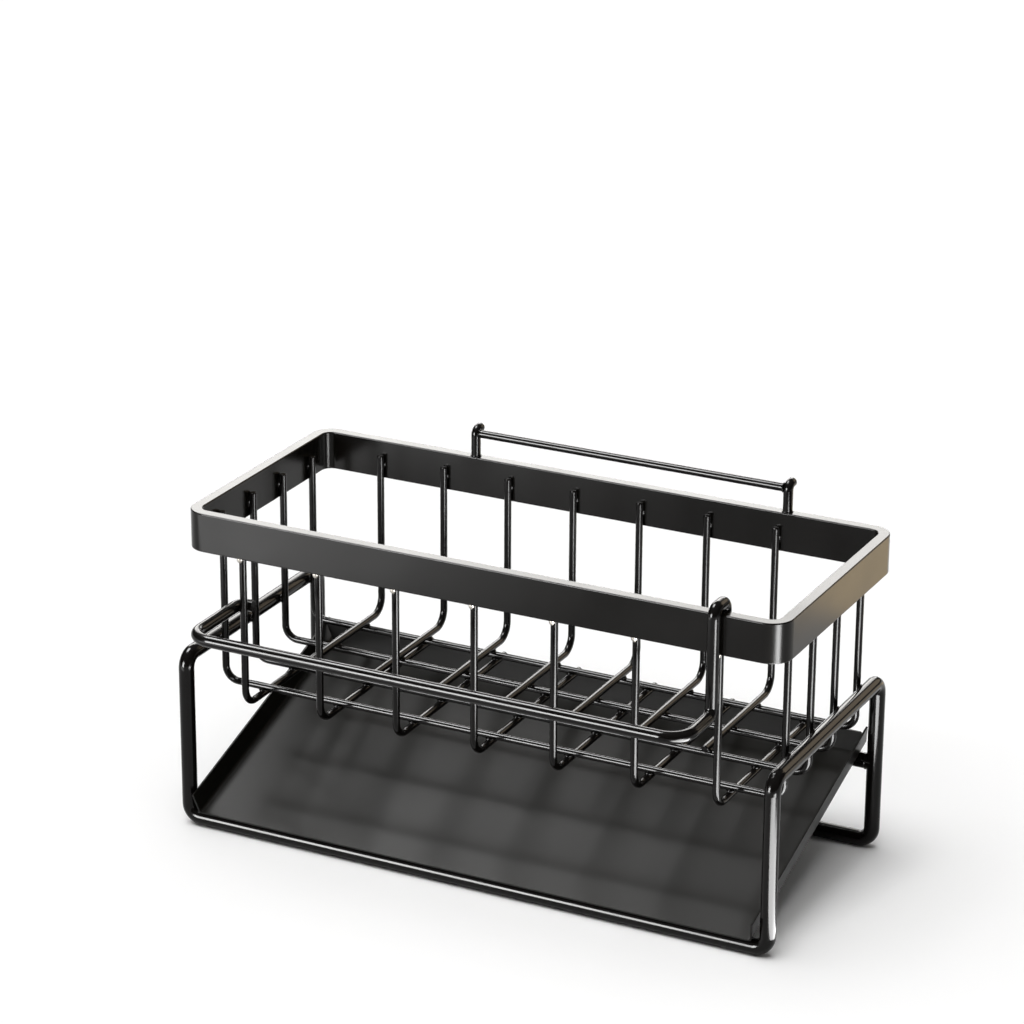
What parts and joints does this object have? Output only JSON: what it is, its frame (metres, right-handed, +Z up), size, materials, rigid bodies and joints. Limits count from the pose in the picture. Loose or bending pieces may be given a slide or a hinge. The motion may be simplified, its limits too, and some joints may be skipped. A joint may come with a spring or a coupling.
{
  "type": "sponge holder",
  "caption": "Free-standing black wire sponge holder: open basket under a flat-bar rail, sloping tilting drip tray, lift-off cloth bar in front and a low hang bar at the back.",
  "frame": {"origin": "on the counter, under the middle of the rail", "axes": "+X along the length to the right, +Y to the back, +Z up"},
  "size_m": [0.2652, 0.147, 0.15],
  "materials": {
    "rail_steel": "satin black lacquer on steel flat bar",
    "wire_steel": "gloss black lacquer on drawn steel wire",
    "tray_steel": "semi-gloss black lacquer on pressed steel sheet"
  },
  "bodies": {
    "rack": {"top_rail": "rail_steel", "base_frame": "wire_steel", "tray_rest_rod": "wire_steel", "hang_bar": "wire_steel", "hang_post_left": "wire_steel", "hang_post_right": "wire_steel", "front_wire_1": "wire_steel", "front_wire_2": "wire_steel", "front_wire_3": "wire_steel", "front_wire_4": "wire_steel", "front_wire_5": "wire_steel", "front_wire_6": "wire_steel", "front_wire_7": "wire_steel", "back_wire_1": "wire_steel", "back_wire_2": "wire_steel", "back_wire_3": "wire_steel", "back_wire_4": "wire_steel", "back_wire_5": "wire_steel", "back_wire_6": "wire_steel", "back_wire_7": "wire_steel", "long_wire_1": "wire_steel", "long_wire_2": "wire_steel", "long_wire_3": "wire_steel", "long_wire_4": "wire_steel"},
    "tray": {"drip_tray": "tray_steel"},
    "bar": {"cloth_bar": "wire_steel"}
  },
  "joints": [
    {"name": "tray_tilt", "type": "hinge", "parent": "rack", "child": "tray", "pos_m": [0, 0.0478, 0.038], "axis": [-1, 0, 0], "range_deg": [0, 18]},
    {"name": "bar_lift", "type": "slide", "parent": "rack", "child": "bar", "axis": [0, 0, 1], "range_m": [0, 0.02]}
  ]
}
